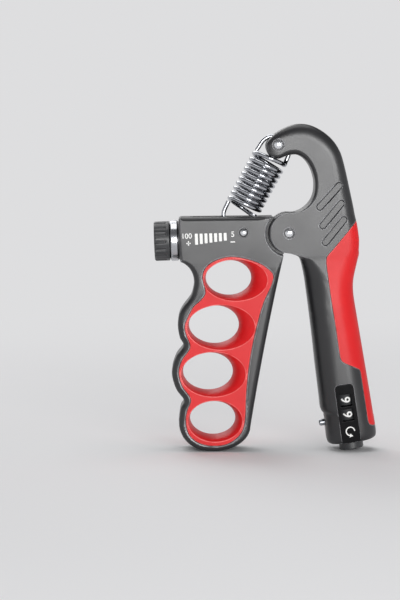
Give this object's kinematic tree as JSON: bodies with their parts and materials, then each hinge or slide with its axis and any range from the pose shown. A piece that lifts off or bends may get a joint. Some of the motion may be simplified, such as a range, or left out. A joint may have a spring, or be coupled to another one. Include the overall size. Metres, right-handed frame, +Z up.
{
  "type": "hand grip strengthener",
  "caption": "Adjustable spring hand gripper: looped finger handle, hooked palm handle, extension spring set by a knob, and a digit counter pressed at full squeeze.",
  "frame": {"origin": "middle of the bounding box on the surface it stands on", "axes": "+X from the finger handle to the palm handle, +Y away from the viewer along the pivot pin, +Z up"},
  "size_m": [0.1072, 0.025, 0.157],
  "materials": {
    "black_plastic": "satin moulded black",
    "knob_plastic": "satin black",
    "gloss_black": "gloss black",
    "red_grip": "soft-touch red",
    "white_plastic": "natural nylon",
    "digit_wheel": "black with white digits",
    "chrome": "bright plated",
    "steel": "turned steel",
    "bronze": "sintered bronze"
  },
  "bodies": {
    "finger_side": {"finger_handle": "black_plastic", "finger_insert": "red_grip", "thrust_bush": "bronze", "tail_block": "steel", "tail_screws": "chrome", "pivot_bush": "bronze", "pivot_washers": "white_plastic", "spring": "chrome"},
    "palm_side": {"palm_handle": "black_plastic", "palm_pad": "red_grip", "pivot_pin": "chrome", "hook_pin": "chrome", "window_plate": "gloss_black", "bearing_plate": "white_plastic", "end_cap": "black_plastic", "wheel_washers": "bronze", "trigger_spring": "steel"},
    "adjuster": {"adjust_screw": "steel", "adjust_knob": "knob_plastic", "knob_collar": "chrome"},
    "slider": {"carriage": "steel", "carriage_pin": "chrome"},
    "units_digit": {"units_wheel": "digit_wheel"},
    "tens_digit": {"tens_wheel": "digit_wheel"},
    "reset": {"reset_shaft": "steel", "reset_knob": "knob_plastic", "reset_screw": "steel"},
    "trigger": {"trigger_button": "chrome"}
  },
  "joints": [
    {"name": "grip_squeeze", "type": "hinge", "parent": "finger_side", "child": "palm_side", "pos_m": [0.01116, 0, 0.105], "axis": [0, 1, 0], "range_deg": [0, 19], "stiffness_Nm_per_rad": 11, "springref_deg": -5.73, "deforming": ["spring"]},
    {"name": "knob_turn", "type": "hinge", "parent": "finger_side", "child": "adjuster", "pos_m": [0.01116, 0, 0.1031], "axis": [0.9993, 0, 0.0384], "range_deg": [0, 2520]},
    {"name": "carriage_slide", "type": "slide", "parent": "finger_side", "child": "slider", "axis": [-0.9993, 0, -0.0384], "range_m": [0, 0.0141]},
    {"name": "trigger_press", "type": "slide", "parent": "palm_side", "child": "trigger", "axis": [0.9895, 0, 0.1444], "range_m": [0, 0.0022], "stiffness_N_per_m": 300, "springref_m": -0.002, "deforming": ["trigger_spring"]},
    {"name": "reset_turn", "type": "hinge", "parent": "palm_side", "child": "reset", "pos_m": [0.04151, -0.002, 0.00395], "axis": [-0.1444, 0, 0.9895], "continuous": true},
    {"name": "units_wheel_turn", "type": "hinge", "parent": "palm_side", "child": "units_digit", "pos_m": [0.04151, -0.002, 0.00395], "axis": [-0.1444, 0, 0.9895], "continuous": true},
    {"name": "tens_wheel_turn", "type": "hinge", "parent": "palm_side", "child": "tens_digit", "pos_m": [0.04151, -0.002, 0.00395], "axis": [-0.1444, 0, 0.9895], "continuous": true}
  ],
  "couplings": [
    {"joint": "carriage_slide", "follows": "knob_turn", "m_per_rad": 0.00031831},
    {"joint": "tens_wheel_turn", "follows": "units_wheel_turn", "ratio": 0.1}
  ]
}
